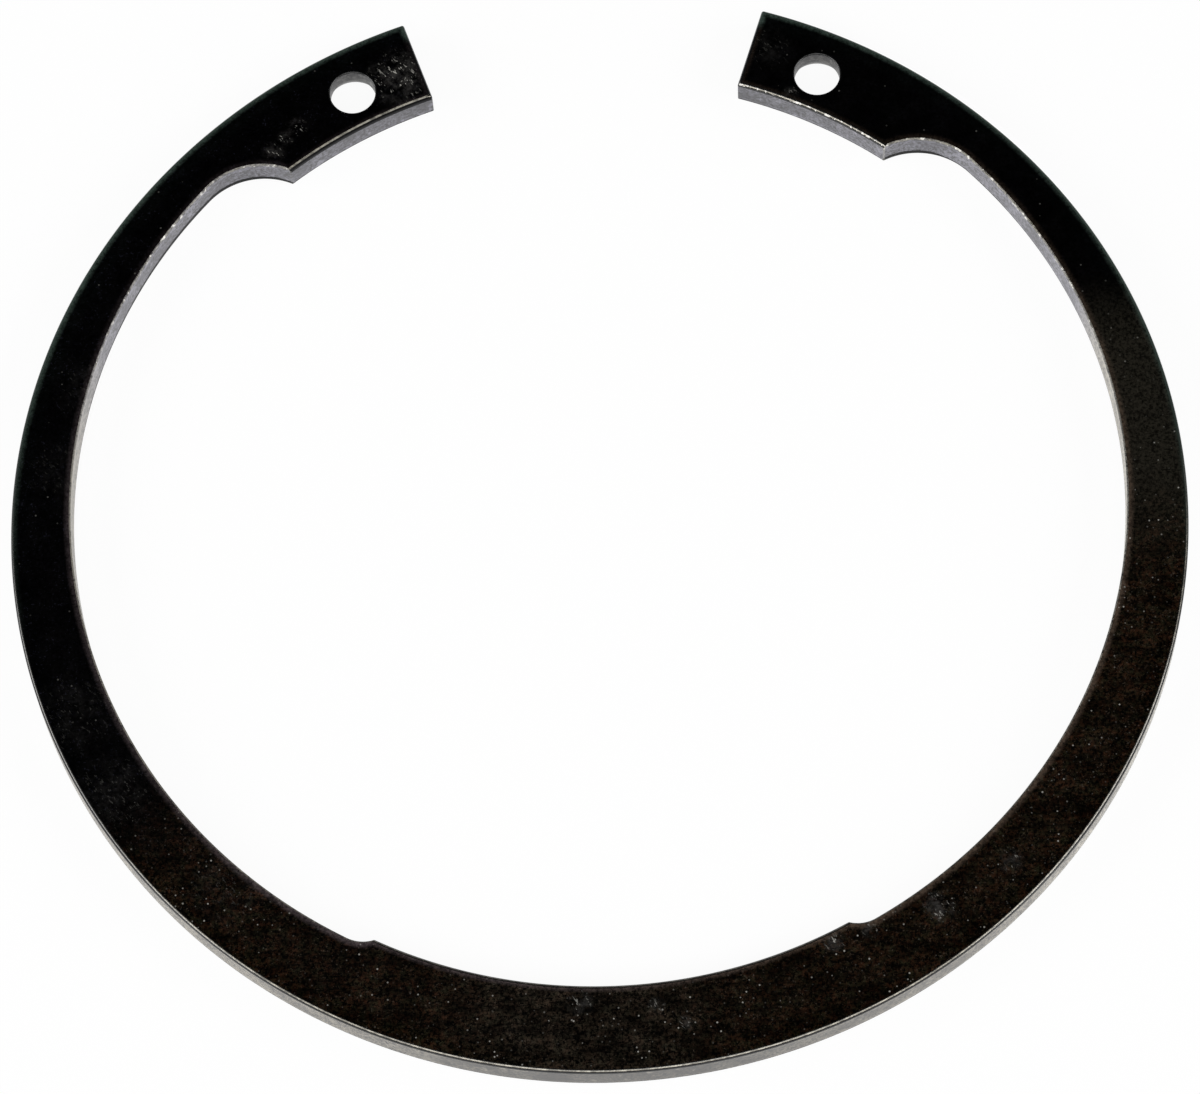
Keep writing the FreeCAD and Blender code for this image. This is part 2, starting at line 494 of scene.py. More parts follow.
# The materials measure in millimetres too.
class Net:
    # short hand for building a net of nodes
    def __init__(self, tree):
        self.tree = tree

    def fill(self, socket, value):
        if isinstance(value, bpy.types.NodeSocket):
            self.tree.links.new(value, socket)
        elif socket.type == "RGBA":
            socket.default_value = (*value, 1.0)
        else:
            socket.default_value = value

    def add(self, kind, inputs=None, **settings):
        node = self.tree.nodes.new(kind)
        for name, value in settings.items():
            setattr(node, name, value)
        for name, value in (inputs or {}).items():
            self.fill(node.inputs[name], value)
        return node

    def math(self, operation, first, second=0.0, clamp=False):
        inputs = {0: first, 1: second}
        return self.add("ShaderNodeMath", inputs, operation=operation, use_clamp=clamp).outputs[0]

    def times(self, *factors, clamp=False):
        # a factor may be a pair, of a value and the range that it fades in over
        pairs = (factor if isinstance(factor, tuple) else (factor, None) for factor in factors)
        first, *others = (self.ramp(value, *span) if span else value for value, span in pairs)
        for other in others:
            first = self.math("MULTIPLY", first, other, clamp)
        return first

    def plus(self, first, *others, clamp=False):
        for other in others:
            first = self.math("ADD", first, other, clamp)
        return first

    def minus(self, first, second):
        return self.math("SUBTRACT", first, second)

    def most(self, first, second, clamp=False):
        return self.math("MAXIMUM", first, second, clamp)

    def absolute(self, value):
        return self.math("ABSOLUTE", value)

    def ramp(self, value, low, high, toLow=0.0, toHigh=1.0):
        inputs = {
            "Value": value, "From Min": low, "From Max": high, "To Min": toLow, "To Max": toHigh,
        }
        return self.add("ShaderNodeMapRange", inputs, interpolation_type="SMOOTHSTEP").outputs[0]

    def blend(self, share, first, second):
        # the numbered inputs are the factor and the two colours
        inputs = {0: share, 6: first, 7: second}
        return self.add("ShaderNodeMix", inputs, data_type="RGBA").outputs[2]

    def noise(self, place, size, detail=3.0, rough=0.5):
        inputs = {"Vector": place, "Scale": 1 / size, "Detail": detail, "Roughness": rough}
        return self.add("ShaderNodeTexNoise", inputs).outputs[0]

    def patches(self, place, size, detail, rough, *span):
        return self.ramp(self.noise(place, size, detail, rough), *span)

    def between(self, value, fromBelow, fromAbove):
        return self.times((value, fromBelow), (value, fromAbove))

    def attribute(self, name):
        return self.add("ShaderNodeAttribute", attribute_name=name).outputs["Fac"]

    def vector(self, operation, first, second=(0.0, 0.0, 0.0)):
        node = self.add("ShaderNodeVectorMath", {0: first, 1: second}, operation=operation)
        return node.outputs["Value" if operation in ("LENGTH", "DISTANCE") else "Vector"]

    def scaled(self, vector, factor):
        inputs = {0: vector, "Scale": factor}
        return self.add("ShaderNodeVectorMath", inputs, operation="SCALE").outputs[0]

    def fromAxis(self, place):
        return self.vector("LENGTH", self.vector("MULTIPLY", place, (1.0, 1.0, 0.0)))

    def bump(self, grain, height):
        inputs = {"Height": grain, "Distance": height * mm, "Strength": 1.0}
        return self.add("ShaderNodeBump", inputs).outputs[0]


def startMaterial(name):
    # also gives the place on the ring, whole and as its x, y and height
    material = bpy.data.materials.new(name)
    material.use_nodes = True
    material.node_tree.nodes.clear()
    net = Net(material.node_tree)
    place = net.scaled(net.add("ShaderNodeTexCoord").outputs["Object"], 1 / mm)
    parts = net.add("ShaderNodeSeparateXYZ", {0: place}).outputs
    return material, net, place, parts


def finishMaterial(net, inputs):
    shader = net.add("ShaderNodeBsdfPrincipled", inputs)
    net.add("ShaderNodeOutputMaterial", {"Surface": shader.outputs[0]})


# In the dictionaries below, a range fades in from its first number to its second, and where it has
# four, the last two are the values at those ends. Of two ranges, the second fades out again. A
# pattern is the size, detail and roughness of a noise, and where it goes on, the noise's range.
onRimRange = (41.0, 41.8)  # distance from the axis
tornFlakes = (0.55, 2.0, 0.6)  # a pattern that the wall and the burr share
faceLook = {
    # the blackened finish: black at the upper left, and warmer towards the heel and the right
    "black": (0.0002, 0.0002, 0.0003),
    "reddish": (0.0068, 0.0027, 0.0013),
    "greenish": (0.0036, 0.0033, 0.0016),
    "warmLean": (0.35, -0.9),  # how much each millimetre along x and y adds to the warmth
    "warmWander": (12.0, 2.0, 0.5, 0.3, 0.7, -4.0, 4.0),
    "warmRange": (1.0, 17.0),
    "neutral": (0.0085, 0.0072, 0.0052),  # the middle of the heel is less coloured
    "neutralAlongX": ((-14.0, -6.0), (10.0, 2.0)),
    "neutralShare": 0.5,
    # its patterns
    "tint": (0.6, 4.0, 0.75, 0.36, 0.64),
    "mottle": (1.7, 5.0, 0.7),
    "mottleStrength": (0.32, 0.7, 0.5, 1.5),
    "grain": (0.2, 4.0, 0.8),
    "grainStrength": (0.42, 0.62, 0.0, 2.25),
    "grainHeight": 0.003,
    "drawn": (0.5, 4.0, 0.7, 0.36, 0.64, 0.45, 1.6),
    "drawnStretch": (0.2, 1.0, 1.0),
    "roughness": (0.25, 0.75, 0.17, 0.30),
    "ior": 1.3,
    # flecks, cold on the black stretch and warm on the rest
    "coldFleck": (0.010, 0.010, 0.016),
    "warmFleck": (0.040, 0.030, 0.022),
    "flecks": (0.17, 2.0, 0.6, 0.6, 0.74),
    "fleckMottle": (0.4, 0.6, 0.25, 1.0),
    "coldFleckAlongX": (8.0, -12.0, 0.1, 0.8),
    # painted sheen: a smooth grey stretch on the right limb, painted slightly paler
    "rightLimbSheen": (0.0092, 0.0083, 0.0060),
    "greyGrain": (0.38, 0.62, 0.2, 1.6),
    "greyFromLeft": (29.0, 35.0),
    "greyFromAbove": (18.0, 11.0),
    "greyFromBelow": (-8.0, 3.0),
    # paler bands beside the edges, partly real wear and partly painted reflection, browner on the
    # right, and beside the rim a painted faint green reflection
    "innerBand": (0.058, 0.046, 0.048),
    "brownBand": (0.062, 0.044, 0.032),
    "brownAlongX": (-14.0, 18.0),
    "outerSheenBand": (0.036, 0.052, 0.043),
    "bandWidth": (0.64, 0.12),
    "bandGrain": (0.34, 0.66, 0.25, 1.35),
    "bandMottle": (0.3, 0.7, 0.7, 1.2),
    "innerBandAlongY": (26.0, -6.0, 0.2, 1.0),
    "innerBandAlongX": (-34.0, -18.0, 0.55, 1.0),
    "outerBandAlongY": (-12.0, 22.0, 0.0, 1.0),
    "outerBandAlongX": (22.0, 34.0, 1.0, 0.55),
    # scuffs: a soft haze with streaks in it, each patch as x, y, size and strength
    "haze": (0.045, 0.043, 0.041),
    "haziness": (0.9, 4.0, 0.7, 0.4, 0.7),
    "hazeGrain": (0.3, 0.65, 0.25, 1.0),
    "streakTurn": 0.9,
    "streakStretch": (0.45, 1.0, 1.0),
    "streaks": (0.2, 2.0, 0.7, 0.61, 0.68),
    "streakStrength": (0.1, 0.5, 0.45, 0.85),
    "scuffCore": 0.1,  # share of a patch's size that has its full strength
    "scuffs": [
        (-14.0, 36.0, 2.8, 1.0), (-23.4, 30.1, 1.1, 0.7), (-22.5, 31.3, 0.8, 0.9),
        (-21.7, 32.2, 1.0, 0.7), (13.8, 37.3, 2.4, 0.13), (15.4, 33.4, 0.8, 0.4),
        (-2.3, -37.6, 1.2, 0.6), (3.0, -38.0, 0.8, 0.5), (5.0, -39.3, 0.7, 0.7),
        (15.6, -33.8, 1.0, 0.8), (18.2, -33.0, 0.8, 0.9), (23.2, -31.4, 1.5, 1.0),
        (28.3, -28.2, 1.2, 0.6), (-38.0, -14.5, 4.0, 0.13), (-35.0, -20.5, 4.0, 0.16),
        (-27.0, -28.0, 3.5, 0.15), (-39.0, 4.5, 3.2, 0.09), (-37.0, 11.5, 3.5, 0.11),
    ],
    # dust, as cells along a millimetre, the colour channel that draws the lot of each cell, the
    # range of a speck's radius in cells, and the range of lots that hold a speck
    "dust": (0.34, 0.33, 0.30),
    "coarseDust": (1.1, 0, (0.1, 0.04), (0.5, 0.9)),
    "coarseDustWhereWarm": (0.0, 1.0, 0.15, 0.7),
    "fineDust": (2.4, 1, (0.2, 0.08), (0.45, 0.85)),
    "fineDustDrifts": (2.6, 3.0, 0.6, 0.48, 0.6, 0.12, 1.0),
    "fineDustShare": 0.75,
    "dustRoughness": 0.4,
}


def specks(net, place, cells, channel, radius, chosen):
    found = net.add("ShaderNodeTexVoronoi", {"Vector": place, "Scale": cells})
    lot = net.add("ShaderNodeSeparateColor", {0: found.outputs["Color"]}).outputs[channel]
    return net.times((found.outputs["Distance"], radius), (lot, chosen))


def makeFaceMaterial(look):
    material, net, place, (x, y, _) = startMaterial(slotNames[faceSlot])
    mottle = net.noise(place, *look["mottle"])
    grain = net.noise(place, *look["grain"])
    leanX, leanY = look["warmLean"]
    wander = net.patches(place, *look["warmWander"])
    across = net.plus(net.times(x, leanX), net.times(y, leanY), wander)
    warmth = net.ramp(across, *look["warmRange"])
    tint = net.blend(net.patches(place, *look["tint"]), look["reddish"], look["greenish"])
    middle = net.between(x, *look["neutralAlongX"])
    tint = net.blend(net.times(middle, look["neutralShare"]), tint, look["neutral"])
    strength = net.times(
        (mottle, look["mottleStrength"]),
        (grain, look["grainStrength"]),
        net.patches(net.vector("MULTIPLY", place, look["drawnStretch"]), *look["drawn"]),
    )
    colour = net.scaled(net.blend(warmth, look["black"], tint), strength)
    fleck = net.times(
        net.patches(place, *look["flecks"]),
        (mottle, look["fleckMottle"]),
        net.most(warmth, net.ramp(x, *look["coldFleckAlongX"])),
    )
    fleckColour = net.blend(warmth, look["coldFleck"], look["warmFleck"])
    colour = net.blend(fleck, colour, fleckColour)
    # painted sheen: the right limb's stretch is painted a paler grey
    dull = net.times(
        (x, look["greyFromLeft"]), (y, look["greyFromAbove"]), (y, look["greyFromBelow"])
    )
    sheenColour = net.scaled(look["rightLimbSheen"], net.ramp(grain, *look["greyGrain"]))
    colour = net.blend(dull, colour, sheenColour)

    # partly real wear and partly painted reflection: paler bands beside the edges; the green band
    # beside the rim is painted reflection only
    onRim = net.ramp(net.fromAxis(place), *onRimRange)
    uneven = net.times((grain, look["bandGrain"]), (mottle, look["bandMottle"]))
    wornAndSheen = net.times((net.attribute("edgeDistance"), look["bandWidth"]), uneven)
    inner = net.times(
        wornAndSheen, net.minus(1.0, onRim), (y, look["innerBandAlongY"]), (x, look["innerBandAlongX"])
    )
    outer = net.times(wornAndSheen, onRim, (y, look["outerBandAlongY"]), (x, look["outerBandAlongX"]))
    brown = net.ramp(x, *look["brownAlongX"])
    innerColour = net.blend(brown, look["innerBand"], look["brownBand"])
    colour = net.blend(inner, colour, innerColour)
    colour = net.blend(outer, colour, look["outerSheenBand"])

    scuff = 0.0
    for patchX, patchY, size, force in look["scuffs"]:
        away = net.vector("DISTANCE", place, (patchX, patchY, ringSizes["thickness"]))
        patch = net.ramp(away, size, size * look["scuffCore"], 0.0, force)
        scuff = net.most(patch, scuff)
    cloudy = net.times(net.patches(place, *look["haziness"]), (grain, look["hazeGrain"]))
    colour = net.blend(net.times(scuff, cloudy), colour, look["haze"])
    inputs = {"Vector": place, "Angle": look["streakTurn"]}
    slanting = net.add("ShaderNodeVectorRotate", inputs, rotation_type="Z_AXIS").outputs[0]
    slanting = net.vector("MULTIPLY", slanting, look["streakStretch"])
    streaks = net.patches(slanting, *look["streaks"])
    streaks = net.times(scuff, streaks, (scuff, look["streakStrength"]))
    coarse = net.times(
        specks(net, place, *look["coarseDust"]), (warmth, look["coarseDustWhereWarm"])
    )
    fine = net.times(
        specks(net, place, *look["fineDust"]),
        net.times(net.patches(place, *look["fineDustDrifts"]), warmth),
        look["fineDustShare"],
    )
    pale = net.most(net.most(coarse, fine), streaks, clamp=True)
    rough = net.ramp(mottle, *look["roughness"])
    finishMaterial(net, {
        "Base Color": net.blend(pale, colour, look["dust"]),
        "Roughness": net.plus(rough, net.times(pale, look["dustRoughness"])),
        "IOR": look["ior"],
        "Normal": net.bump(grain, look["grainHeight"]),
    })
    return material


rollLook = {
    "black": (0.004, 0.004, 0.0042),
    "roughness": 0.27,
    "ior": 1.58,
    "grain": (0.3, 3.0, 0.6),
    "grainHeight": 0.003,
    # painted reflection: a faint green sheen on the rim, towards the gap
    "green": (0.036, 0.052, 0.043),
    "greenAlongY": (-12.0, 22.0, 0.0, 0.85),
    # partly real wear and partly painted highlight: the crown is painted pale where the finish
    # wears thin, most on the heel's side and along the lugs
    "wornAndSheen": (0.64, 0.60, 0.50),
    "wornHeight": ((2.226, 2.253), (2.293, 2.281)),
    "wornPatches": (0.5, 4.0, 0.7, 0.36, 0.64, 0.3, 1.0),
    "wornAlongY": (6.0, -19.0, 0.0, 0.8),
    "wornOutwards": (38.0, 41.0, 0.22, 1.0),
    "wornFromLeft": (-37.0, -28.0, 0.2, 1.0),
    "wornToRight": (31.0, 39.0, 1.0, 0.62),
    "rightLugLower": 0.02,  # on the right lug the pale crown line, of wear and painted highlight, runs lower, on the left one higher
    "leftLugHigher": 0.02,
    "leftLugFainter": 0.5,
    # small bright nicks along the right lug's edge
    "nick": (0.88, 0.86, 0.80),
    "nicks": (0.35, 2.0, 0.6, 0.54, 0.6),
    "nicksFromBelow": (2.17, 2.21),
    "nicksFromAbove": (2.298, 2.29),
    # below the crown the roll hardly shines at the sides, nor anywhere on the right limb
    "shine": (0.0, 1.0, 0.5, 0.08),
    "mattAside": (28.0, 35.0, 0.0, 0.8),
    "mattBelow": (2.27, 2.22),
    "mattRightAlongY": ((-18.0, -9.0), (22.0, 10.0)),
    "mattRightAlongX": (30.0, 37.0),
    "mattRight": 0.92,
}


def makeRollMaterial(look):
    material, net, place, (x, y, z) = startMaterial(slotNames[rollSlot])
    radius = net.fromAxis(place)
    grain = net.noise(place, *look["grain"])
    depth = net.attribute("burnishDepth")
    onLug = net.ramp(depth, *burnish["onLug"])
    onLeftLug = net.ramp(depth, *burnish["onLeftLug"])
    height = net.plus(z, net.times(onLug, look["rightLugLower"]))
    leftShift = look["rightLugLower"] + look["leftLugHigher"]
    height = net.minus(height, net.times(onLeftLug, leftShift))
    # painted reflection: a faint green sheen on the rim
    green = net.times((radius, onRimRange), (y, look["greenAlongY"]))
    colour = net.blend(green, look["black"], look["green"])

    # partly real wear and partly painted highlight along the roll's crown
    wornAndSheen = net.times(
        (y, look["wornAlongY"]), (radius, look["wornOutwards"]), (x, look["wornFromLeft"])
    )
    wornAndSheen = net.most(wornAndSheen, net.minus(onLug, net.times(onLeftLug, look["leftLugFainter"])))
    wornAndSheen = net.times(wornAndSheen, (x, look["wornToRight"]))
    crown = net.between(height, *look["wornHeight"])
    wornAndSheen = net.times(crown, net.patches(place, *look["wornPatches"]), wornAndSheen)
    colour = net.blend(wornAndSheen, colour, look["wornAndSheen"])
    onRightLug = net.minus(onLug, onLeftLug)
    nicks = net.times(
        net.patches(place, *look["nicks"]),
        (height, look["nicksFromBelow"]),
        net.times(onRightLug, (height, look["nicksFromAbove"])),
    )
    aside = net.ramp(net.absolute(x), *look["mattAside"])
    matt = net.times(net.most(onLeftLug, aside), (height, look["mattBelow"]))
    mattRight = net.times(
        net.between(y, *look["mattRightAlongY"]), (x, look["mattRightAlongX"]), look["mattRight"]
    )
    finishMaterial(net, {
        "Base Color": net.blend(nicks, colour, look["nick"]),
        "Roughness": look["roughness"],
        "IOR": look["ior"],
        "Specular IOR Level": net.ramp(net.most(matt, mattRight), *look["shine"]),
        "Normal": net.bump(grain, look["grainHeight"]),
    })
    return material


lugCornerPoint = onCircle(lugInnerRadius, ringSizes["lugEndAngle"])
wallLook = {
    "dark": (0.02, 0.019, 0.021),
    "light": (0.29, 0.265, 0.22),
    "lightAbove": (0.25, 0.245, 0.285),  # the upper inner walls are a colder grey
    "coldAlongY": (2.0, 16.0),
    "roughness": (0.25, 0.75, 0.3, 0.48),
    "ior": 1.65,
    "grain": (0.24, 4.0, 0.75),
    "grainTone": (0.36, 0.64, 0.0, 0.76),
    "grainHeight": 0.01,
    "broad": (2.5, 2.0, 0.5, 0.32, 0.68, 0.62, 1.28),
    # painted light: the wall's tone is painted paler towards the sides
    "sideLitTone": (2.0, 32.0, 0.55, 1.8),
    "darkerAbove": (6.0, 20.0, 1.0, 0.66),
    "smears": (0.8, 3.0, 0.6, 0.58, 0.7),
    "smearShare": 0.45,
    # paler bands near the foot and below the roll, with ragged limits
    "ragged": (0.4, 4.0, 0.75, 0.3, 0.7, -0.07, 0.07),
    "bandRaggedness": 0.6,
    "footBand": ((0.12, 0.18), (0.45, 0.26)),
    "rollBand": ((1.81, 1.93), (2.08, 2.03)),
    "bandShare": 0.22,
    # painted light: the walls of both limbs are painted paler, as lit from the sides
    "sideLitCream": (0.47, 0.44, 0.375),
    "creamAside": (27.0, 36.0),
    "creamFromAbove": (17.0, 9.0),
    "creamToRight": (-30.0, 30.0, 0.4, 1.0),
    # painted shadow: a black line of contact shadow along the foot of the wall, wider in the roots
    # and on the left limb
    "blackLine": (0.003, 0.003, 0.003),
    "lineHeight": (0.16, 0.1),
    "pastLug": (-0.004, 0.002),  # radians past the lug's end, here and for the corner
    "rootInwards": (40.5, 39.5),
    "rootAlongY": (14.0, 27.0),
    "rootExtra": (0.0, 5.0, 0.24, 0.07),
    "corner": (0.11, 0.05),
    "cornerAlongX": (0.0, 5.0),
    "cornerExtra": 0.3,
    "leftLimbAlongX": (-20.0, -27.0),
    "leftLimbAlongY": (3.0, 12.0),
    "leftLimbExtra": 0.13,
    # a ragged bright line at the upper edge, with a few real torn flakes painted near white as
    # painted highlights
    "burr": (0.28, 0.262, 0.21),
    "burrHeight": (2.16, 2.25),
    "burrGrain": (0.38, 0.62, 0.1, 1.05),
    "burrAlongX": (-20.0, 20.0, 0.65, 1.0),
    "burrAlongY": (4.0, 24.0),
    "flakeGlint": (0.85, 0.83, 0.77),
    "flakeRange": (0.58, 0.66),
    "flakeHeight": (2.04, 2.16),
    "flakeAlongY": (12.0, 24.0, 0.35, 0.85),
    # the black of the roll runs down the lugs and the sides of the rim
    "burnishTop": 2.03,
    "burnishRaggedness": 0.25,
    "burnishFade": (-0.06, 0.02),
    "rimBurnish": (26.0, 36.0, 0.0, 0.16),
    "shine": (0.0, 1.0, 0.5, 0.06),
    # painted glints where the wall turns the corner of each lug, each as x, y and strength
    "glint": (0.7, 0.68, 0.62),
    "glintRadius": (0.13, 0.05),
    "glintHeight": (1.6, 2.1, 0.25, 1.0),
    "glints": [
        (lugCornerPoint.real, lugCornerPoint.imag, 0.9),
        (-lugCornerPoint.real, lugCornerPoint.imag, 0.18),
    ],
}


def makeWallMaterial(look):
    # torn grey metal, left by the blanking tools
    material, net, place, (x, y, height) = startMaterial(slotNames[wallSlot])
    radius = net.fromAxis(place)
    grain = net.noise(place, *look["grain"])
    ragged = net.patches(place, *look["ragged"])
    raggedHeight = net.plus(height, net.times(ragged, look["bandRaggedness"]))
    footBand = net.between(raggedHeight, *look["footBand"])
    rollBand = net.between(raggedHeight, *look["rollBand"])
    tone = net.times((grain, look["grainTone"]), net.patches(place, *look["broad"]))
    tone = net.plus(tone, net.times(net.plus(footBand, rollBand), look["bandShare"]))
    tone = net.times(tone, (y, look["darkerAbove"]))
    # painted light: the wall's tone is painted paler towards the sides
    tone = net.times(tone, (net.absolute(x), look["sideLitTone"]), clamp=True)
    smears = net.times(net.patches(place, *look["smears"]), look["smearShare"])
    tone = net.plus(tone, smears, clamp=True)
    pale = net.blend(net.ramp(y, *look["coldAlongY"]), look["light"], look["lightAbove"])
    # painted light: the walls at the sides are painted paler
    sideLitLimbs = net.times(
        (net.absolute(x), look["creamAside"]),
        (y, look["creamFromAbove"]),
        (x, look["creamToRight"]),
    )
    pale = net.blend(sideLitLimbs, pale, look["sideLitCream"])
    colour = net.blend(tone, look["dark"], pale)

    # painted shadow: the foot of the wall is painted black as contact shadow, higher in the roots,
    # at the lug corners and on the left limb
    fromGap = net.math("ARCTAN2", net.absolute(x), y)
    lugEnd = math.radians(ringSizes["lugEndAngle"])
    pastLug = net.times(
        (fromGap, (lugEnd + part for part in look["pastLug"])), (radius, look["rootInwards"])
    )
    inRoot = net.times(pastLug, (y, look["rootAlongY"]), (x, look["rootExtra"]))
    inCorner = net.times(
        pastLug, (fromGap, (lugEnd + part for part in look["corner"])), (x, look["cornerAlongX"])
    )
    onLeftLimb = net.times((x, look["leftLimbAlongX"]), (y, look["leftLimbAlongY"]))
    footLine = net.minus(raggedHeight, inRoot)
    footLine = net.minus(footLine, net.times(inCorner, look["cornerExtra"]))
    footLine = net.minus(footLine, net.times(onLeftLimb, look["leftLimbExtra"]))
    foot = net.ramp(footLine, *look["lineHeight"])
    colour = net.blend(foot, colour, look["blackLine"])

    upper = net.ramp(y, *look["burrAlongY"])
    tornHeight = net.plus(height, ragged)
    burr = net.times(
        (tornHeight, look["burrHeight"]), (grain, look["burrGrain"]), (x, look["burrAlongX"])
    )
    colour = net.blend(burr, colour, net.blend(upper, look["blackLine"], look["burr"]))
    # painted highlights on a few torn flakes
    flakes = net.times(
        net.patches(place, *tornFlakes, *look["flakeRange"]),
        (tornHeight, look["flakeHeight"]),
        net.times(upper, (y, look["flakeAlongY"])),
    )
    colour = net.blend(flakes, colour, look["flakeGlint"])
    rimDepth = net.times((radius, onRimRange), (net.absolute(x), look["rimBurnish"]))
    depth = net.most(net.attribute("burnishDepth"), rimDepth)
    unevenness = net.times(ragged, look["burnishRaggedness"])
    above = net.plus(net.minus(height, look["burnishTop"]), depth, unevenness)
    blackLine = net.times((above, look["burnishFade"]), (depth, burnish["onLug"]))
    colour = net.blend(blackLine, colour, look["blackLine"])

    # painted glints at the lugs' corners
    plan = net.add("ShaderNodeCombineXYZ", {0: x, 1: y}).outputs[0]
    glint = 0.0
    for cornerX, cornerY, force in look["glints"]:
        away = net.vector("DISTANCE", plan, (cornerX, cornerY, 0.0))
        glint = net.most(net.ramp(away, *look["glintRadius"], 0.0, force), glint)
    glint = net.times(glint, (height, look["glintHeight"]))
    finishMaterial(net, {
        "Base Color": net.blend(glint, colour, look["glint"]),
        "Roughness": net.ramp(grain, *look["roughness"]),
        "IOR": look["ior"],
        "Specular IOR Level": net.ramp(net.most(blackLine, foot), *look["shine"]),
        "Normal": net.bump(grain, look["grainHeight"]),
    })
    return material


punchLook = {
    "dark": (0.006, 0.005, 0.007),
    "light": (0.15, 0.146, 0.14),
    "brokenHeight": (1.9, 1.1),  # from the punched wall to the broken one
    "brokenWander": (0.7, 4.0, 0.7, 0.35, 0.65, -0.6, 0.6),
    "brokenShare": 0.6,
    "grain": (0.25, 4.0, 0.7),
    "grainTone": (0.35, 0.65, -0.15, 0.4),
    "grainHeight": 0.008,
    "patches": (0.5, 3.0, 0.6, 0.36, 0.62, 0.35, 1.5),
    "roughness": (0.25, 0.75, 0.35, 0.55),
    "ior": 1.6,
}


def makePunchMaterial(look):
    # dark and blotched where the punch went in, paler where the metal broke
    material, net, place, (_, _, height) = startMaterial(slotNames[punchSlot])
    grain = net.noise(place, *look["grain"])
    brokenHeight = net.plus(height, net.patches(place, *look["brokenWander"]))
    broken = net.times((brokenHeight, look["brokenHeight"]), look["brokenShare"])
    tone = net.plus(broken, net.ramp(grain, *look["grainTone"]), clamp=True)
    tone = net.times(tone, net.patches(place, *look["patches"]), clamp=True)
    finishMaterial(net, {
        "Base Color": net.blend(tone, look["dark"], look["light"]),
        "Roughness": net.ramp(grain, *look["roughness"]),
        "IOR": look["ior"],
        "Normal": net.bump(grain, look["grainHeight"]),
    })
    return material


burrLook = {
    "dull": (0.06, 0.058, 0.045),
    "bright": (0.40, 0.385, 0.33),
    "flakeGlint": (0.85, 0.83, 0.77),  # painted highlight: a few torn flakes are painted near white, as they catch the light
    "flakeRange": (0.56, 0.64),
    "grain": (0.3, 4.0, 0.7),
    "grainTone": (0.35, 0.65),
    "roughness": (0.3, 0.7, 0.35, 0.55),
    "metallic": 0.5,
}


def makeBurrMaterial(look):
    material, net, place, _ = startMaterial("tornBurr")
    grain = net.noise(place, *look["grain"])
    colour = net.blend(net.ramp(grain, *look["grainTone"]), look["dull"], look["bright"])
    # painted highlights on a few torn flakes
    flakes = net.patches(place, *tornFlakes, *look["flakeRange"])
    finishMaterial(net, {
        "Base Color": net.blend(flakes, colour, look["flakeGlint"]),
        "Roughness": net.ramp(grain, *look["roughness"]),
        "Metallic": look["metallic"],
    })
    return material


burrMaterial = makeBurrMaterial(burrLook)
for makeMaterial, look in (
    (makeFaceMaterial, faceLook),
    (makeRollMaterial, rollLook),
    (makeWallMaterial, wallLook),
    (makePunchMaterial, punchLook),
):
    retainingRing.data.materials.append(makeMaterial(look))
print("materials:", ", ".join(slotNames + [burrMaterial.name]))


burrSizes = {  # the named inputs of the burr's tree
    "Thickness": 0.026 * mm,
    "Raggedness": 0.055 * mm,
    "Point spacing": 0.09 * mm,
    "Patch size": 0.9 * mm,
    "Seed": 4.0,
}
burrShape = {
    "shakeMiddle": (0.5, 0.5, 0.62),  # more than a half keeps the burr low
    "shakeFiner": 2.0,
    "detail": 3.0,
    "thicknessRange": (0.44, 0.68, 0.15, 1.9),
    "sides": 5,
}


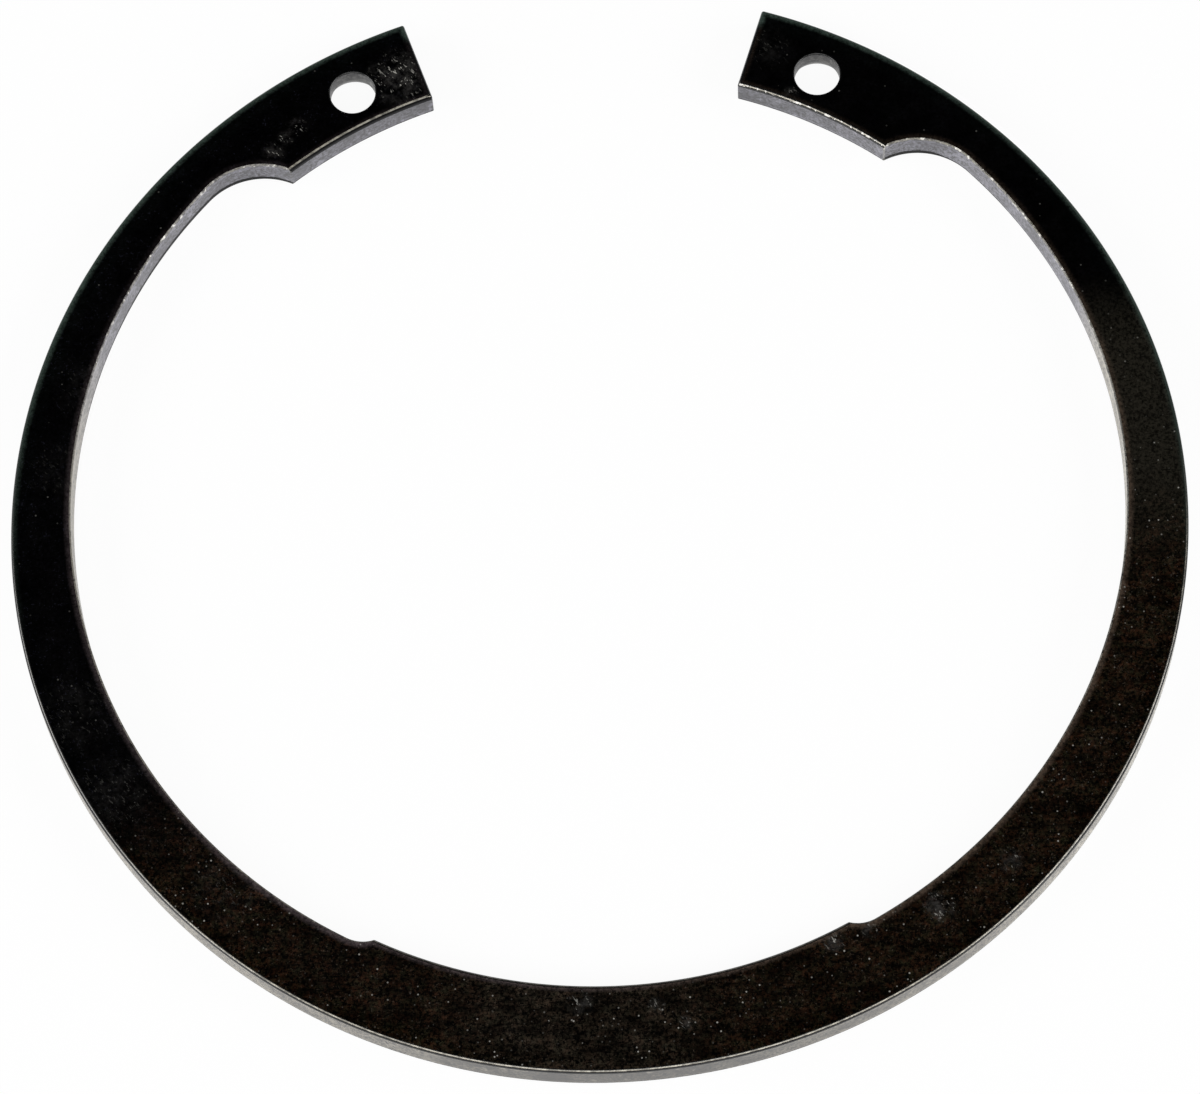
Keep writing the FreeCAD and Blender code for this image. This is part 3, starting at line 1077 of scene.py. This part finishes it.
def burrTree(sizes, shape, material):
    # a ragged bead that follows the sheared upper edge, torn thinner and thicker along its way
    tree = bpy.data.node_groups.new("raggedBurr", "GeometryNodeTree")
    sockets = tree.interface

    def socket(name, way, kind):
        return sockets.new_socket(name=name, in_out=way, socket_type=kind)

    socket("Geometry", "INPUT", "NodeSocketGeometry")
    inputs = {name: socket(name, "INPUT", "NodeSocketFloat") for name in sizes}
    socket("Geometry", "OUTPUT", "NodeSocketGeometry")
    net = Net(tree)
    entry = net.add("NodeGroupInput").outputs
    place = net.add("GeometryNodeInputPosition").outputs[0]
    scale = net.math("DIVIDE", 1.0, entry["Patch size"])

    def marked(name):
        kind = "GeometryNodeInputNamedAttribute"
        return net.add(kind, {"Name": name}, data_type="BOOLEAN").outputs["Attribute"]

    def torn(output, finer):
        noise = {
            "Vector": place, "W": entry["Seed"], "Scale": net.times(scale, finer),
            "Detail": shape["detail"],
        }
        return net.add("ShaderNodeTexNoise", noise, noise_dimensions="4D").outputs[output]

    edge = {"Mesh": entry["Geometry"], "Selection": marked("burrLine")}
    curve = net.add("GeometryNodeMeshToCurve", edge).outputs[0]
    spacing = {"Curve": curve, "Length": entry["Point spacing"]}
    spaced = net.add("GeometryNodeResampleCurve", spacing, mode="LENGTH").outputs[0]
    shake = net.vector("SUBTRACT", torn("Color", shape["shakeFiner"]), shape["shakeMiddle"])
    shake = net.scaled(shake, entry["Raggedness"])
    moved = net.add("GeometryNodeSetPosition", {"Geometry": spaced, "Offset": shake}).outputs[0]
    thick = net.times((torn(0, 1.0), shape["thicknessRange"]), entry["Thickness"])
    sized = net.add("GeometryNodeSetCurveRadius", {"Curve": moved, "Radius": thick}).outputs[0]
    circle = {"Resolution": shape["sides"], "Radius": 1.0}
    sweep = {
        "Curve": sized,
        "Profile Curve": net.add("GeometryNodeCurvePrimitiveCircle", circle).outputs[0],
        "Scale": net.add("GeometryNodeInputRadius").outputs[0],
        "Fill Caps": True,
    }
    bead = net.add("GeometryNodeCurveToMesh", sweep).outputs[0]
    mark = {"Geometry": bead, "Name": "isBurr", "Value": True}
    kind = "GeometryNodeStoreNamedAttribute"
    bead = net.add(kind, mark, data_type="BOOLEAN", domain="FACE").outputs[0]
    joined = net.add("GeometryNodeJoinGeometry")
    for part in (bead, entry["Geometry"]):
        tree.links.new(part, joined.inputs[0])
    plain = net.add("GeometryNodeRealizeInstances", {"Geometry": joined.outputs[0]}).outputs[0]
    paint = {"Geometry": plain, "Selection": marked("isBurr"), "Material": material}
    painted = net.add("GeometryNodeSetMaterial", paint).outputs[0]
    net.add("NodeGroupOutput", {"Geometry": painted})
    return tree, {name: found.identifier for name, found in inputs.items()}


def addBurr(ringObject, sizes, shape, material):
    tree, identifiers = burrTree(sizes, shape, material)
    modifier = ringObject.modifiers.new("burr", "NODES")
    modifier.node_group = tree
    for name, identifier in identifiers.items():
        modifier[identifier] = sizes[name]
    bpy.context.view_layer.update()
    evaluated = ringObject.evaluated_get(bpy.context.evaluated_depsgraph_get())
    withBurr = bpy.data.meshes.new_from_object(evaluated)
    ringObject.modifiers.remove(modifier)
    ringObject.data = withBurr
    withBurr.name = "retainingRing"
    for index in reversed(range(len(withBurr.materials))):
        if withBurr.materials[index] is None:  # the tree leaves an empty slot
            withBurr.materials.pop(index=index)


before = len(retainingRing.data.polygons)
addBurr(retainingRing, burrSizes, burrShape, burrMaterial)
print("burr:", len(retainingRing.data.polygons) - before, "faces")
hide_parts("ring")
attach(retainingRing, "root")
print("ring's slots:", ", ".join(slot.name for slot in retainingRing.data.materials))


studio = {
    "floorHalf": 8.0,  # metres, as everything from here on
    "floorDrop": 0.00003,
    "floorColour": 0.9,
    "floorShare": 0.94,  # how much of the table is plain white to the camera and to reflections
    "worldColour": 0.007,
    "lamps": [  # name, azimuth from -Y towards +X, elevation, distance, width, height, radiance
        ("frontLamp", 0.0, 56.0, 1.2, 1.1, 0.7, 3.0),
        ("leftLamp", -80.0, 23.0, 1.15, 1.1, 0.6, 6.4),
        ("rightLamp", 80.0, 23.0, 1.15, 1.1, 0.6, 6.0),
    ],
}


def makeFloor(settings):
    size, low = settings["floorHalf"], cadLow.z - settings["floorDrop"]
    corners = [(-size, -size, low), (size, -size, low), (size, size, low), (-size, size, low)]
    mesh = bpy.data.meshes.new("table")
    mesh.from_pydata(corners, [], [(0, 1, 2, 3)])
    floor = bpy.data.objects.new("table", mesh)
    bpy.context.scene.collection.objects.link(floor)
    material = bpy.data.materials.new("whiteTable")
    material.use_nodes = True
    material.node_tree.nodes.clear()
    net = Net(material.node_tree)
    shade = [settings["floorColour"]] * 3
    diffuse = net.add("ShaderNodeBsdfDiffuse", {"Color": shade}).outputs[0]
    white = {"Color": (1.0, 1.0, 1.0), "Strength": 1.0}
    white = net.add("ShaderNodeEmission", white).outputs[0]
    path = net.add("ShaderNodeLightPath").outputs
    seen = net.plus(path["Is Camera Ray"], path["Is Glossy Ray"])
    seen = net.plus(seen, path["Is Transmission Ray"], clamp=True)
    share = net.times(seen, settings["floorShare"])
    mixed = net.add("ShaderNodeMixShader", {0: share, 1: diffuse, 2: white}).outputs[0]
    net.add("ShaderNodeOutputMaterial", {"Surface": mixed})
    mesh.materials.append(material)


def makeLamp(name, azimuth, elevation, distance, width, height, radiance):
    light = bpy.data.lights.new(name, "AREA")
    light.shape = "RECTANGLE"
    light.size, light.size_y = width, height
    light.energy = radiance * math.pi * width * height
    lamp = bpy.data.objects.new(name, light)
    turn, rise = math.radians(azimuth), math.radians(elevation)
    flat = math.cos(rise)
    towards = Vector((math.sin(turn) * flat, -math.cos(turn) * flat, math.sin(rise)))
    lamp.location = towards * distance
    lamp.rotation_mode = "QUATERNION"
    lamp.rotation_quaternion = (-towards).to_track_quat("-Z", "Y")
    lamp.visible_camera = False
    bpy.context.scene.collection.objects.link(lamp)


def makeWorld(settings):
    world = bpy.data.worlds.new("darkRoom")
    world.use_nodes = True
    level = settings["worldColour"]
    world.node_tree.nodes["Background"].inputs[0].default_value = (level, level, level, 1.0)
    bpy.context.scene.world = world


# The camera looks down at the ring from a little over four tenths of a metre.
cameraView = {
    "sensorWidth": 36.0,  # millimetres, as the lens
    "lens": 170.212,
    "place": (0.0067459, -0.1641258, 0.3800048),
    "right": (0.9991259, -0.0290213, -0.0300871),
    "down": (-0.0384967, -0.9193118, -0.3916426),
    "ahead": (-0.0162935, 0.3924585, -0.9196254),
    "clip": (0.01, 50.0),
}


def makeCamera(view):
    data = bpy.data.cameras.new("camera")
    data.sensor_fit = "HORIZONTAL"
    data.sensor_width = view["sensorWidth"]
    data.lens = view["lens"]
    data.clip_start, data.clip_end = view["clip"]
    camera = bpy.data.objects.new("camera", data)
    axes = Matrix((Vector(view["right"]), -Vector(view["down"]), -Vector(view["ahead"])))
    camera.matrix_world = Matrix.Translation(view["place"]) @ axes.transposed().to_4x4()
    bpy.context.scene.collection.objects.link(camera)
    bpy.context.scene.camera = camera


makeFloor(studio)
for lampSettings in studio["lamps"]:
    makeLamp(*lampSettings)
makeWorld(studio)
makeCamera(cameraView)
bpy.context.scene.view_settings.view_transform = "Standard"
print("table, lamps and camera set")

bpy.context.view_layer.update()
